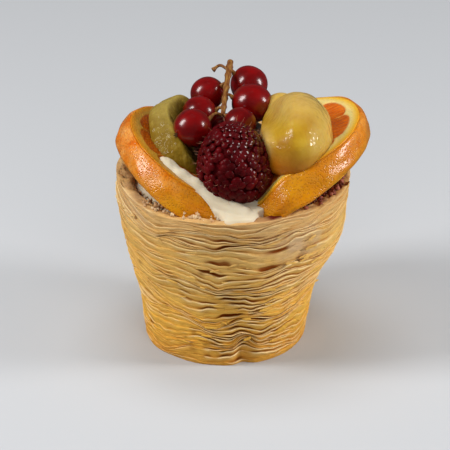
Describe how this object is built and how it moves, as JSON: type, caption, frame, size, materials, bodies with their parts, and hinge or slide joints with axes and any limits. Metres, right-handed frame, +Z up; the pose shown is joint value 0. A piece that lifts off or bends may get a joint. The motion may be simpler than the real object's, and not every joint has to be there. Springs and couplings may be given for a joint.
{
  "type": "puff pastry fruit basket",
  "caption": "Flaky puff pastry cup filled with cream and topped with orange half slices, kiwi, peach, a raspberry and redcurrants on their stem.",
  "frame": {"origin": "centre of the flat base of the pastry cup", "axes": "+Z up, -Y towards the front with the raspberry, +X to the right seen from the front"},
  "size_m": [0.0714, 0.0667, 0.0765],
  "materials": {
    "pastry": "baked puff pastry, dry and flaky, golden brown",
    "cream": "pale ivory cream, moist",
    "orange": "glazed orange peel and flesh",
    "kiwi": "glazed kiwi flesh, moist",
    "peach": "glazed peach flesh, translucent",
    "raspberry": "glazed raspberry, dark red",
    "currant": "smooth glossy redcurrant skin",
    "stem": "dry woody green-brown stem"
  },
  "bodies": {
    "root": {"pastry_cup": "pastry", "cream": "cream", "orange_slice_left": "orange", "orange_slice_right": "orange", "kiwi_slice": "kiwi", "peach_piece": "peach", "raspberry": "raspberry", "currant_1": "currant", "currant_2": "currant", "currant_3": "currant", "currant_4": "currant", "currant_5": "currant", "currant_6": "currant", "currant_stem": "stem"}
  },
  "joints": []
}
